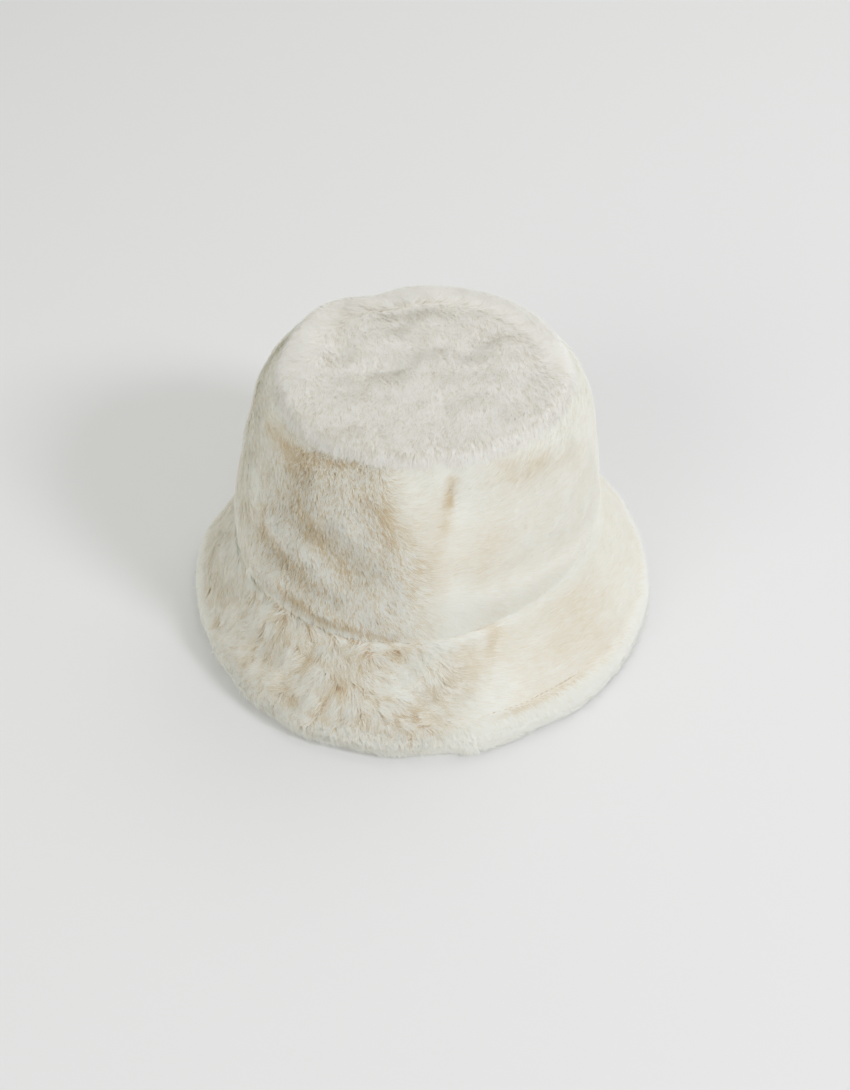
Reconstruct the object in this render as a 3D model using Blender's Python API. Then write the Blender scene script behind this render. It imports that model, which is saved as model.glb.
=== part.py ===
"""Faux fur bucket hat, resting on the rim of its brim, in metres with +Z up and its front facing -Y.

Five padded pieces of fur fabric are sewn together: an oval crown tip, two crown side panels that
meet in front and behind, and two brim panels, each of them one padded ring of upper and under fur.
Each solid runs from the fabric backing to the ends of the pile, and its outer form is in locks.
Azimuth is measured round the hat from its front, and it grows towards +X.
"""

from collections import namedtuple
from math import cos, floor, hypot, pi, radians, sin, sqrt

import bpy
import numpy as np
from mathutils import Vector, noise
from mathutils.geometry import tessellate_polygon

# Sizes of the fabric and of its sewing
BACKING_TO_SEAM = 0.006  # the wall left where the pile sinks into a seam
BRIM_MITRE_IN = 0.0085  # from the outside of the brim seam to its inside
BRIM_MITRE_DOWN = 0.0045
SIDE_PUFF = 0.0050  # how far the pile of a side panel stands above its seams
BRIM_PUFF = 0.0045
SEAM_GAP = 0.0003  # between two sewn pieces

# The crown tip is an oval whose fur hangs over its seam
TIP_HALF_LENGTH = 0.0780
TIP_HALF_WIDTH = 0.0730
TIP_CENTRE = (0.0012, 0.0185)
TIP_TURN = radians(4.0)
TIP_SEAM_HEIGHT = 0.1385
TIP_TOP_HEIGHT = 0.1490
TIP_OVERHANG = 0.0035
TIP_EDGE_RADIUS = 0.0045

# The crown side curves in over a soft shoulder, inside the corner that this larger oval is
SHOULDER_HALF_LENGTH = 0.0925
SHOULDER_HALF_WIDTH = 0.0830
SHOULDER_TURN = radians(-6.4)
SHOULDER_HEIGHT = 0.1425
SHOULDER_BACKING_IN = 0.0095  # from that corner to the same corner of the backing
SHOULDER_BACKING_DOWN = 0.0120

# The crown and the brim meet at this height, and the brim slopes down to its rolled rim
BRIM_SEAM_HEIGHT = 0.0450
RIM_RADIUS = 0.0085  # of the rolled edge, seen in section
RIM_TURNS = (radians(50), radians(15), radians(-25))
REST_WIDTH = 0.0090  # of the band of the rim that lies flat on the surface
UNDER_CURVE = 0.0085  # where the under fur rises off the surface
STITCH_INSET = 0.0120  # from the rim to the row of topstitching
STITCH_DEPTH = 0.0020
STITCH_WIDTH = 0.0035

# Where two panels meet, in front and half a turn further round. The brim's seams run aslant.
SIDE_SEAM_AZIMUTH = radians(8.0)
BRIM_SEAM_AZIMUTH = radians(11.0)
BRIM_SEAM_SLANT = radians(13.0)
SIDE_MEAN_RADIUS = 0.095
BRIM_MEAN_RADIUS = 0.125
PANEL_SEAM_DEPTH = 0.0012
PANEL_SEAM_WIDTH = 0.0050

# A lock of the pile
LOCK_WIDTH = 0.0190
LOCK_PITCH = 0.0210
LOCK_HEIGHT = 0.0034
TIP_LOCKS, TIP_EDGE_LOCKS, SIDE_LOCKS, BRIM_LOCKS = 1, 2, 3, 4  # the arrangement on each surface

# How finely each piece is divided
SIDE_COLUMNS = 56
BRIM_COLUMNS = 57
SIDE_ROWS = 17
SIDE_BACKING_ROWS = 4
BRIM_ROWS = 10
TIP_COLUMNS = 60
TIP_ROWS = 11

# The plan round the hat, in metres: radius of the rim and of the seam of crown and brim, and how far
# the seam of the soft crown tip sags below its height
Plan = namedtuple("Plan", "azimuth_deg rim_radius seam_radius tip_sag")
PLAN = (
    Plan(-150, 0.1415, 0.1010, 0.001),
    Plan(-120, 0.1375, 0.1075, 0.001),
    Plan(-90, 0.1443, 0.1120, 0.003),
    Plan(-60, 0.1470, 0.1110, 0.005),
    Plan(-30, 0.1535, 0.1080, 0.002),
    Plan(0, 0.1515, 0.1020, 0.000),
    Plan(30, 0.1488, 0.0955, 0.001),
    Plan(60, 0.1478, 0.0975, 0.003),
    Plan(90, 0.1455, 0.1060, 0.002),
    Plan(120, 0.1437, 0.1085, 0.000),
    Plan(150, 0.1430, 0.1060, 0.000),
    Plan(180, 0.1425, 0.1015, 0.000),
)

# Where the edge of the crown tip, with its seam, stands higher or lower at the back
EdgeRise = namedtuple("EdgeRise", "azimuth_deg width_deg rise")
EDGE_RISES = {
    "hump": EdgeRise(-130, 22, 0.0040),
    "dip": EdgeRise(-158, 8, -0.0050),
}

# Folds of the crown side and of the brim, each a line on the panel from one place to another: the
# azimuth, the share of the way up the side or out along the brim, and a depth that is less than 0
# in a valley
PanelFold = namedtuple("PanelFold", "azimuth_1 share_1 azimuth_2 share_2 width depth")
SIDE_FOLDS = {
    "crease below the tip": PanelFold(-68, 0.90, -22, 0.93, 0.006, -0.0025),
    "upper ridge": PanelFold(-40, 0.71, -8, 0.42, 0.008, 0.0022),
    "upper valley": PanelFold(-50, 0.65, -20, 0.37, 0.007, -0.0045),
    "middle ridge": PanelFold(-72, 0.52, -30, 0.30, 0.006, 0.0030),
    "lower valley": PanelFold(-63, 0.37, -30, 0.20, 0.007, -0.0040),
    "lower ridge": PanelFold(-52, 0.16, -26, 0.09, 0.007, 0.0015),
    "nick in front": PanelFold(9, 0.89, 8, 0.70, 0.004, -0.0030),
}
BRIM_FOLDS = {
    "raised lock": PanelFold(-5, 0.66, 10, 0.14, 0.007, 0.0028),
    "valley beside it": PanelFold(-6, 0.98, 12, 0.46, 0.006, -0.0025),
    "left valley": PanelFold(-30, 0.22, -31, 0.92, 0.005, -0.0018),
    "left dent": PanelFold(-62, 0.30, -48, 0.55, 0.009, -0.0020),
    "nick by the seam": PanelFold(23.5, 0.10, 23, 0.40, 0.004, -0.0020),
}

# Folds of the crown tip, each a line in plan
TipFold = namedtuple("TipFold", "x_1 y_1 x_2 y_2 width depth")
TIP_FOLDS = {
    "fold from the back": TipFold(-0.042, 0.082, -0.048, 0.030, 0.007, -0.0028),
    "pucker": TipFold(-0.048, 0.032, -0.050, 0.015, 0.006, -0.0028),
    "ridge by the pucker": TipFold(-0.060, 0.050, -0.065, 0.014, 0.009, 0.0018),
    "hollow": TipFold(-0.034, 0.006, -0.015, 0.026, 0.011, -0.0026),
    "hollow at the back": TipFold(-0.016, 0.076, -0.005, 0.083, 0.009, -0.0022),
    "notch": TipFold(0.031, 0.041, 0.031, 0.026, 0.006, -0.0026),
    "ripple": TipFold(0.034, 0.042, 0.055, 0.050, 0.006, -0.0028),
    "front parting": TipFold(0.012, -0.020, 0.016, -0.044, 0.005, -0.0022),
    "long wave": TipFold(0.067, 0.020, 0.060, -0.016, 0.007, -0.0028),
    "short wave": TipFold(0.076, 0.014, 0.075, 0.003, 0.006, -0.0018),
}


def around(column, azimuth):
    """A column of PLAN at this azimuth, along a smooth closed curve through its rows."""
    values = [getattr(row, column) for row in PLAN]
    place = (azimuth - radians(PLAN[0].azimuth_deg)) / (2 * pi) * len(PLAN)
    first = floor(place)
    share = place - first
    before, start, end, after = (values[(first + step) % len(PLAN)] for step in (-1, 0, 1, 2))
    slope_start = (end - before) / 2
    slope_end = (after - start) / 2
    return (
        start * (2 * share**3 - 3 * share**2 + 1)
        + slope_start * (share**3 - 2 * share**2 + share)
        + end * (3 * share**2 - 2 * share**3)
        + slope_end * (share**3 - share**2)
    )


def outward(azimuth):
    return np.array((sin(azimuth), -cos(azimuth), 0.0))


UP = np.array((0.0, 0.0, 1.0))


def brim_seam(azimuth):
    """The point of the crown and brim seam on the outside of the hat."""
    return outward(azimuth) * around("seam_radius", azimuth) + UP * BRIM_SEAM_HEIGHT


def bell(distance, width):
    return np.exp(-((distance / width) ** 2))


def oval_reach(azimuth, half_length, half_width, turn):
    """The distance from the centre of an oval to its edge."""
    angle = azimuth - turn
    return 1 / sqrt((sin(angle) / half_length) ** 2 + (cos(angle) / half_width) ** 2)


def tip_oval(azimuth):
    """The distance from the centre of the crown tip to its seam."""
    return oval_reach(azimuth, TIP_HALF_LENGTH, TIP_HALF_WIDTH, TIP_TURN)


def tip_drop(azimuth):
    """How far the edge of the crown tip lies below its height here."""
    drop = around("tip_sag", azimuth)
    for place in EDGE_RISES.values():
        turn = (azimuth - radians(place.azimuth_deg) + pi) % (2 * pi) - pi
        drop -= place.rise * bell(turn, radians(place.width_deg))
    return drop


def tip_seam(azimuth):
    centre = np.array((*TIP_CENTRE, TIP_SEAM_HEIGHT - tip_drop(azimuth)))
    return centre + outward(azimuth) * tip_oval(azimuth)


def shoulder(azimuth):
    """The corner that the crown side rounds on its way in to the seam of the tip."""
    reach = oval_reach(azimuth, SHOULDER_HALF_LENGTH, SHOULDER_HALF_WIDTH, SHOULDER_TURN)
    centre = np.array((*TIP_CENTRE, SHOULDER_HEIGHT - tip_drop(azimuth)))
    return centre + outward(azimuth) * reach


def rounded_line(foot, corner, head):
    """Close points on a line that rises from a foot and rounds a corner to a head, and their
    distances along it."""
    steps = np.linspace(0, 1, 81)[:, None]
    below = 0.3 * foot + 0.7 * corner
    line = foot * (1 - steps) ** 3 + head * steps**3
    line = line + 3 * below * steps * (1 - steps) ** 2
    line = line + 3 * corner * steps**2 * (1 - steps)
    spacing = np.linalg.norm(np.diff(line, axis=0), axis=1)
    return line, np.concatenate([[0.0], np.cumsum(spacing)])


def place_on(line, distances, along):
    return np.array([np.interp(along, distances, line[:, axis]) for axis in range(3)])


def pillow(share, steepness=3.0):
    """0 at both ends of a padded panel and 1 over most of it."""
    return 1 - abs(2 * share - 1) ** steepness


def locks(across, along, layer):
    """How far the locks stand off the mean surface, across and along the lie of the pile."""
    height = 0.0
    row_here = floor(along / LOCK_PITCH)
    for row in range(row_here - 2, row_here + 2):
        shift = 0.5 * (row % 2)
        column_here = round(across / LOCK_WIDTH - shift)
        for column in range(column_here - 1, column_here + 2):
            chance = noise.cell_vector((column + 0.5, row + 0.5, layer + 0.5))
            centre = (column + shift + 0.5 * (chance[0] - 0.5)) * LOCK_WIDTH
            root = (row + 0.5 * (chance[1] - 0.5)) * LOCK_PITCH
            side = (across - centre) / (0.75 * LOCK_WIDTH)
            run = (along - root) / (1.6 * LOCK_PITCH)
            if abs(side) < 1 and 0 < run < 1:
                form = (1 - side**2) * sin(pi * run**1.5)
                height = max(height, form * (0.6 + 0.4 * chance[2]))
    return LOCK_HEIGHT * (height - 0.5)


def make_material(name, colour, roughness):
    material = bpy.data.materials.new(name)
    material.use_nodes = True
    shader = material.node_tree.nodes["Principled BSDF"]
    shader.inputs["Base Color"].default_value = (*colour, 1.0)
    shader.inputs["Roughness"].default_value = roughness
    shader.inputs["Metallic"].default_value = 0.0
    return material


def make_object(name, points, faces, material):
    mesh = bpy.data.meshes.new(name)
    mesh.from_pydata([tuple(point) for point in points], [], faces)
    mesh.validate()
    mesh.shade_smooth()
    mesh.materials.append(material)
    piece = bpy.data.objects.new(name, mesh)
    bpy.context.scene.collection.objects.link(piece)
    return piece


def cap_triangles(section):
    """Triangles that close a loop of points which lies about in a plane through the hat's axis."""
    flat = [Vector((hypot(point[0], point[1]), point[2], 0.0)) for point in section]
    return tessellate_polygon([flat])


def make_panel(name, sections, material):
    """One closed body from its sections, each a closed loop of points, with the two ends capped."""
    count = len(sections[0])
    points = [point for section in sections for point in section]
    last = len(points) - count
    faces = []
    for first in range(0, last, count):
        for corner in range(count):
            following = (corner + 1) % count
            faces.append(
                (first + corner, first + following, first + count + following, first + count + corner)
            )
    for triangle in cap_triangles(sections[0]):
        faces.append(tuple(reversed(triangle)))
    for triangle in cap_triangles(sections[-1]):
        faces.append(tuple(last + corner for corner in triangle))
    return make_object(name, points, faces, material)


def make_disc(name, rings, top, bottom, material):
    """One closed body from its rings, the first of them nearest the top point and the last the bottom."""
    count = len(rings[0])
    points = [point for ring in rings for point in ring] + [top, bottom]
    top_index = len(points) - 2
    bottom_index = len(points) - 1
    last = (len(rings) - 1) * count
    faces = []
    for corner in range(count):
        following = (corner + 1) % count
        faces.append((top_index, corner, following))
        faces.append((bottom_index, last + following, last + corner))
        for first in range(0, last, count):
            faces.append(
                (first + corner, first + count + corner, first + count + following, first + following)
            )
    return make_object(name, points, faces, material)


def fold_depth(place, start, end, width, depth):
    """How far a fold between two places moves the surface outwards at a third place."""
    place, start, end = np.array(place), np.array(start), np.array(end)
    run = end - start
    share = np.clip(np.dot(place - start, run) / np.dot(run, run), 0, 1)
    return depth * bell(np.linalg.norm(place - start - share * run), width)


def panel_folds(folds, azimuth, share, radius, length):
    """How far the folds of a panel move it outwards, with its sizes round the hat and along it."""
    total = 0.0
    for fold in folds.values():
        start = (radians(fold.azimuth_1) * radius, fold.share_1 * length)
        end = (radians(fold.azimuth_2) * radius, fold.share_2 * length)
        total += fold_depth((azimuth * radius, share * length), start, end, fold.width, fold.depth)
    return total


def seam_nearness(azimuth, radius, seam_azimuth):
    """1 on the seams where two panels meet and 0 away from them."""
    turn = (azimuth - seam_azimuth + pi / 2) % pi - pi / 2
    return bell(turn * radius, PANEL_SEAM_WIDTH)


def side_section(azimuth):
    """One loop of a crown side panel: down its pile and up its backing."""
    away = outward(azimuth)
    corner = shoulder(azimuth)
    line, distances = rounded_line(brim_seam(azimuth), corner, tip_seam(azimuth))
    length = distances[-1]
    radius = around("seam_radius", azimuth)
    near = seam_nearness(azimuth, radius, SIDE_SEAM_AZIMUTH)
    loop = []
    for row in range(SIDE_ROWS + 1):
        even = row / SIDE_ROWS
        share = 1 - 0.35 * even - 0.65 * (0.5 - 0.5 * cos(pi * even))  # closer near both seams
        rise = SIDE_PUFF - PANEL_SEAM_DEPTH * near
        rise += locks(azimuth * radius, (1 - share) * length, SIDE_LOCKS) * (1 - near)
        rise += panel_folds(SIDE_FOLDS, azimuth, share, radius, length)
        along = SEAM_GAP / 2 + share * (length - SEAM_GAP)
        run = place_on(line, distances, along + 0.001) - place_on(line, distances, along - 0.001)
        facing = np.cross(np.cross(UP, away), run)
        facing = facing / np.linalg.norm(facing)
        loop.append(place_on(line, distances, along) + facing * rise * pillow(share, 5.0))
    inner_foot = loop[-1] - away * BRIM_MITRE_IN - UP * BRIM_MITRE_DOWN
    inner_head = loop[0] - (away + UP) * BACKING_TO_SEAM
    inner_corner = corner - away * SHOULDER_BACKING_IN - UP * SHOULDER_BACKING_DOWN
    line, distances = rounded_line(inner_foot, inner_corner, inner_head)
    for row in range(SIDE_BACKING_ROWS + 1):
        share = sin(pi / 2 * row / SIDE_BACKING_ROWS)
        loop.append(place_on(line, distances, share * distances[-1]))
    return loop


def brim_section(azimuth):
    """One loop of a brim panel: down its upper pile, round the rim and back up under it."""
    away = outward(azimuth)
    seam_away = outward(azimuth + BRIM_SEAM_SLANT)
    rim_radius = around("rim_radius", azimuth)
    seam = brim_seam(azimuth + BRIM_SEAM_SLANT)
    edge = away * (rim_radius - RIM_RADIUS) + UP * 2 * RIM_RADIUS
    length = np.linalg.norm(edge - seam)
    run = (edge - seam) / length
    facing = UP - run * np.dot(UP, run)
    facing = facing / np.linalg.norm(facing)
    near = seam_nearness(azimuth, rim_radius, BRIM_SEAM_AZIMUTH)
    loop = []
    for row in range(BRIM_ROWS + 1):
        share = row / BRIM_ROWS
        place_azimuth = azimuth + BRIM_SEAM_SLANT * (1 - share)
        along = SEAM_GAP / 2 + share * (length - SEAM_GAP / 2)
        rise = BRIM_PUFF * (1 - 0.8 * max(0.0, share - 0.5)) - PANEL_SEAM_DEPTH * near
        rise += locks(place_azimuth * rim_radius, along, BRIM_LOCKS) * (1 - near)
        rise += panel_folds(BRIM_FOLDS, place_azimuth, share, rim_radius, length)
        rise -= STITCH_DEPTH * bell(length + RIM_RADIUS - STITCH_INSET - along, STITCH_WIDTH)
        loop.append(seam + run * along + facing * rise * pillow(min(share, 0.5)))
    centre = away * (rim_radius - RIM_RADIUS) + UP * RIM_RADIUS
    for turn in RIM_TURNS:
        bulge = RIM_RADIUS + locks(azimuth * rim_radius, length, BRIM_LOCKS) * (1 - near)
        loop.append(centre + (away * cos(turn) + UP * sin(turn)) * bulge)
    rest_outer = rim_radius - RIM_RADIUS * 0.45
    rest_inner = rest_outer - REST_WIDTH
    loop.append(away * rest_outer)
    loop.append(away * rest_inner)
    inner_seam = seam + run * SEAM_GAP / 2 - seam_away * BRIM_MITRE_IN - UP * BRIM_MITRE_DOWN
    under_edge = away * (rest_inner - UNDER_CURVE) + UP * 0.6 * UNDER_CURVE
    loop.append(under_edge)
    loop.append((under_edge + inner_seam) / 2)
    loop.append(inner_seam)
    return loop


def panel_azimuths(seam_azimuth, radius, columns):
    """The sections of the two panels between two seams half a turn apart, left and then right."""
    inset = SEAM_GAP / 2 / radius
    right = np.linspace(seam_azimuth + inset, seam_azimuth + pi - inset, columns + 1)
    left = np.linspace(seam_azimuth - pi + inset, seam_azimuth - inset, columns + 1)
    return left, right


def build_crown_tip(material):
    """The oval top of the crown, domed a little, with an edge that rolls over the seam."""
    centre = np.array((*TIP_CENTRE, 0.0))
    azimuths = [2 * pi * column / TIP_COLUMNS - pi for column in range(TIP_COLUMNS)]
    edge_rise = TIP_EDGE_RADIUS - SEAM_GAP / 2
    dome = TIP_TOP_HEIGHT - TIP_SEAM_HEIGHT - 2 * TIP_EDGE_RADIUS

    def overhang(azimuth):
        return TIP_OVERHANG + locks(azimuth * TIP_HALF_LENGTH, LOCK_PITCH, TIP_EDGE_LOCKS)

    def top_point(azimuth, share):
        reach = tip_oval(azimuth) + TIP_OVERHANG + (overhang(azimuth) - TIP_OVERHANG) * share**8
        flat = 1 - TIP_EDGE_RADIUS / reach
        fall = max(0.0, (share - flat) / (1 - flat))
        height = TIP_SEAM_HEIGHT - tip_drop(azimuth) * share**2
        height += TIP_EDGE_RADIUS + TIP_EDGE_RADIUS * sqrt(max(0.0, 1 - fall**2))
        height += dome * (1 - share**2)
        spot = centre + outward(azimuth) * reach * share
        relief = locks(spot[0], -spot[1], TIP_LOCKS)
        for fold in TIP_FOLDS.values():
            start, end = (fold.x_1, fold.y_1), (fold.x_2, fold.y_2)
            relief += fold_depth(spot[:2], start, end, fold.width, fold.depth)
        return spot + UP * (height + relief * (1 - share**8))

    def edge_ring(share, inset, rise):
        ring = []
        for azimuth in azimuths:
            out = overhang(azimuth) * share - inset
            ring.append(tip_seam(azimuth) + outward(azimuth) * out + UP * rise)
        return ring

    rings = []
    for row in range(1, TIP_ROWS + 1):
        rings.append([top_point(azimuth, row / (TIP_ROWS + 1)) for azimuth in azimuths])
    for share in (0.955, 0.985, 1.0):
        rings.append([top_point(azimuth, share) for azimuth in azimuths])
    rings.append(edge_ring(0.8, 0.0, edge_rise * 0.80))
    rings.append(edge_ring(0.4, 0.0, edge_rise * 0.45))
    rings.append(edge_ring(0.0, 0.0, SEAM_GAP / 2))
    under = SEAM_GAP / 2 - BACKING_TO_SEAM
    rings.append(edge_ring(0.0, BACKING_TO_SEAM, under))
    inner = []
    for azimuth in azimuths:
        reach = (tip_oval(azimuth) - BACKING_TO_SEAM) * 0.6
        inner.append(centre + outward(azimuth) * reach + UP * (TIP_SEAM_HEIGHT + under))
    rings.append(inner)
    top = top_point(0.0, 0.0)
    bottom = centre + UP * (TIP_SEAM_HEIGHT + under + 0.002)
    return make_disc("crown_tip", rings, top, bottom, material)


for startup_object in list(bpy.data.objects):
    bpy.data.objects.remove(startup_object, do_unlink=True)

cream_fur = make_material("cream_faux_fur", (0.72, 0.69, 0.61), 0.9)
side_left, side_right = panel_azimuths(SIDE_SEAM_AZIMUTH, SIDE_MEAN_RADIUS, SIDE_COLUMNS)
brim_left, brim_right = panel_azimuths(BRIM_SEAM_AZIMUTH, BRIM_MEAN_RADIUS, BRIM_COLUMNS)
pieces = [
    build_crown_tip(cream_fur),
    make_panel("crown_side_left", [side_section(azimuth) for azimuth in side_left], cream_fur),
    make_panel("crown_side_right", [side_section(azimuth) for azimuth in side_right], cream_fur),
    make_panel("brim_left", [brim_section(azimuth) for azimuth in brim_left], cream_fur),
    make_panel("brim_right", [brim_section(azimuth) for azimuth in brim_right], cream_fur),
]
corners = np.array([vertex.co for piece in pieces for vertex in piece.data.vertices])
middle = (corners.min(axis=0) + corners.max(axis=0)) / 2
for piece in pieces:
    piece.location = (-middle[0], -middle[1], 0.0)  # the origin is under the middle of the hat
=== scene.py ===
from collections import namedtuple
from math import radians

import bpy
import numpy as np
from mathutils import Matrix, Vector, kdtree
from mathutils.bvhtree import BVHTree


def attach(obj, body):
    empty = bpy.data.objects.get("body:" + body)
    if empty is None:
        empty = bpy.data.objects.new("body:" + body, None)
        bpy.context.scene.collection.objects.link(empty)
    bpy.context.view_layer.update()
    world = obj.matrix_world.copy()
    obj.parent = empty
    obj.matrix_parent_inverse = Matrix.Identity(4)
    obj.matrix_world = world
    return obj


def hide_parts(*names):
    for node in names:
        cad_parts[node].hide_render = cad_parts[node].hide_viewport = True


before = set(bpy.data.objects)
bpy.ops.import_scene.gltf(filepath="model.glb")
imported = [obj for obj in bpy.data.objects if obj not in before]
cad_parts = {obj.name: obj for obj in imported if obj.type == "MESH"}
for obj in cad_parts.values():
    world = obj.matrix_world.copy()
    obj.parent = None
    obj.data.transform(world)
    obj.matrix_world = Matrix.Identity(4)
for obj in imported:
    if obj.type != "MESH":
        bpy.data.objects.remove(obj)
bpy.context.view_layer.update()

# The camera looks down at 45 degrees on the front of the hat, from three quarters of a metre.
# Its view is 47 degrees high, and nothing in it is out of focus.
bpy.ops.object.select_all(action="DESELECT")
bpy.ops.object.camera_add(location=(0.0018, -0.5569, 0.5803), rotation=(radians(45), 0, 0))
camera = bpy.context.object
camera.name = "studio_camera"
camera.data.sensor_width = 36.0
camera.data.lens = 41.57
camera.data.clip_start = 0.01
camera.data.clip_end = 50.0
bpy.context.scene.camera = camera
bpy.context.scene.view_settings.view_transform = "Standard"

# The floor is a sheet of pale grey studio paper, seen without its edges.
# It is matt, and only a little darker than white.
bpy.ops.mesh.primitive_plane_add(size=12.0, location=(0, 0, -0.0002))
floor = bpy.context.object
floor.name = "studio_floor"
paper = bpy.data.materials.new("studio_paper")
paper.use_nodes = True
shader = paper.node_tree.nodes["Principled BSDF"]
shader.inputs["Base Color"].default_value = (0.80, 0.80, 0.80, 1)
shader.inputs["Roughness"].default_value = 0.95
shader.inputs["Specular IOR Level"].default_value = 0.1
floor.data.materials.append(paper)

# The light is a pale room with three soft boxes: a broad one high up behind on the right, one in
# front on the left, and a small one in front on the right, which throws the soft shadow of the hat
# to the left and a little back.
room = bpy.data.worlds.new("studio_room")
room.use_nodes = True
room.node_tree.nodes["Background"].inputs["Color"].default_value = (1.0, 1.0, 0.965, 1)
room.node_tree.nodes["Background"].inputs["Strength"].default_value = 0.48
bpy.context.scene.world = room


def add_soft_box(name, place, target, size, power, colour):
    """A square area light at a place, turned to a target."""
    turn = (Vector(target) - Vector(place)).to_track_quat("-Z", "Y").to_euler()
    bpy.ops.object.light_add(type="AREA", location=place, rotation=turn)
    box = bpy.context.object
    box.name = name
    box.data.size = size
    box.data.energy = power
    box.data.color = colour


add_soft_box("broad_box", (0.80, 1.50, 2.20), (0, 0.2, 0.05), 1.8, 18.5, (1.0, 1.0, 0.99))
add_soft_box("front_box", (-1.50, -1.50, 1.15), (0, 0, 0.05), 1.5, 13.2, (1.0, 1.0, 0.98))
add_soft_box("key_box", (1.86, -0.98, 1.53), (0, 0, 0.05), 0.55, 24.5, (0.97, 0.98, 1.05))

# The crown tip is the oval top of the hat, cut from one piece of faux fur: a knitted backing with
# a dense pile about a centimetre long. The pile runs towards the front and hangs over the seam,
# and along the back edge it turns to run round the hat. The tip is sewn to the crown sides.
HAT_CENTRE = np.array((-0.0005, 0.0047, 0.0))
UP = np.array((0.0, 0.0, 1.0))
TIP_STRANDS = 180000
TIP_LENGTH = 0.0080  # of the pile, from root to end
PILE_DEPTH = 0.0013  # how far the backing lies under the fur's surface
SEAM_DEPTH = 0.0008  # the same where the pile is sewn in
FULLER_TOP = 0.0017  # how far the fur stands out from the solid round the crown's top
BRIDGE_REACH = 0.012  # of the pile that closes over a seam, to each side
BRIDGE_RISE = 0.7  # how high it closes, as a share of how uneven the seam is
BRIDGE_LIMIT = 0.005
JOIN_REACH = 0.004  # within which the two edges of a seam are drawn together
TUFT_PITCH = 0.0080  # between the locks of the pile where it is tousled
STROKE_WIDTH = 0.0009  # of the lines that the pile draws along its nap
STROKE_LENGTH = 0.0075
WISP_STRANDS = 3
WISP_SPREAD = 0.0003
STRAND_WIDTH = 0.00065  # at the root
FLOOR_GAP = 0.0003  # that the roots keep from the floor

# How the pile is combed at each of its places: the way it lies, how far it gathers into locks, its
# length and height, how far its wisps and strands stray in direction, how far they draw together,
# and its tone, from 0 for tan to 1 for white, with how much that varies.
Combing = namedtuple("Combing", "nap bunch length height wisp_turn strand_turn gather tone contrast")


def unit(vectors):
    """The vectors with their lengths made 1."""
    lengths = np.linalg.norm(vectors, axis=1, keepdims=True)
    return vectors / np.maximum(lengths, 1e-9)


def step_up(values, low, high):
    """A smooth step from 0 at the low value to 1 at the high one."""
    share = np.clip((values - low) / (high - low), 0, 1)
    return share * share * (3 - 2 * share)


def drift(spots, size, layer):
    """Smooth random values from -1 to 1 that change over about this size, one for each spot. They
    are blended from the corners of a grid, where the bits of the corner's place are shuffled."""
    cell = spots / size + layer * 17.31
    base = np.floor(cell).astype(np.int64)
    part = cell - base
    part = part * part * (3 - 2 * part)
    total = np.zeros(len(spots))
    for corner in range(8):
        step = np.array([(corner >> axis) & 1 for axis in range(3)])
        weight = np.prod(np.where(step == 1, part, 1 - part), axis=1)
        key = (base + step) @ np.array([73856093, 19349663, 83492791])
        key = ((key ^ (key >> 13)) * 1274126177) & 0x7FFFFFFF
        total += weight * ((key >> 8) % 2048 / 1023.5 - 1)
    return total


def outward(spots):
    """The level direction away from the middle of the hat, at each spot."""
    away = spots - HAT_CENTRE
    away[:, 2] = 0
    return unit(away)


def azimuth(spots):
    """Degrees round the hat from its front, growing towards the right."""
    away = spots - HAT_CENTRE
    return np.degrees(np.arctan2(away[:, 0], -away[:, 1]))


def downhill(facing):
    """The direction along the cloth that leads down its slope."""
    return unit(facing * facing[:, 2:] - UP)


def select_only(piece):
    bpy.ops.object.select_all(action="DESELECT")
    piece.select_set(True)
    bpy.context.view_layer.objects.active = piece


def mesh_arrays(piece):
    """The points, point normals and triangles of a mesh, as arrays."""
    mesh = piece.data
    mesh.calc_loop_triangles()
    points = np.empty(len(mesh.vertices) * 3)
    normals = np.empty(len(mesh.vertices) * 3)
    corners = np.empty(len(mesh.loop_triangles) * 3, np.int32)
    mesh.vertices.foreach_get("co", points)
    mesh.vertex_normals.foreach_get("vector", normals)
    mesh.loop_triangles.foreach_get("vertices", corners)
    return points.reshape(-1, 3), normals.reshape(-1, 3), corners.reshape(-1, 3)


def face_frames(points, corners):
    """The middle and the outward normal of each triangle, and its area."""
    a, b, c = points[corners[:, 0]], points[corners[:, 1]], points[corners[:, 2]]
    cross = np.cross(b - a, c - a)
    return (a + b + c) / 3, unit(cross), np.linalg.norm(cross, axis=1) / 2


def blurred(values, edges, rounds):
    """The values of the points, each averaged with its neighbours' this many times."""
    values = values.reshape(len(values), -1).astype(float)
    degree = np.bincount(edges.ravel(), minlength=len(values))[:, None]
    for _ in range(rounds):
        total = np.zeros_like(values)
        np.add.at(total, edges[:, 0], values[edges[:, 1]])
        np.add.at(total, edges[:, 1], values[edges[:, 0]])
        values = (values + total) / (degree + 1)
    return values


# The outer faces of all the solids, which show how the cloth runs on beyond a seam.
solid_faces = [face_frames(*mesh_arrays(node)[::2]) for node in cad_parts.values()]
outer_middles, outer_facing, outer_area = (np.concatenate(column) for column in zip(*solid_faces))
outer = np.sum(outer_facing * unit(outward(outer_middles) + UP), axis=1) > 0.3
outer_middles, outer_facing, outer_area = outer_middles[outer], outer_facing[outer], outer_area[outer]
outer_tree = kdtree.KDTree(len(outer_middles))
for index, middle in enumerate(outer_middles.tolist()):
    outer_tree.insert(middle, index)
outer_tree.balance()


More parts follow.
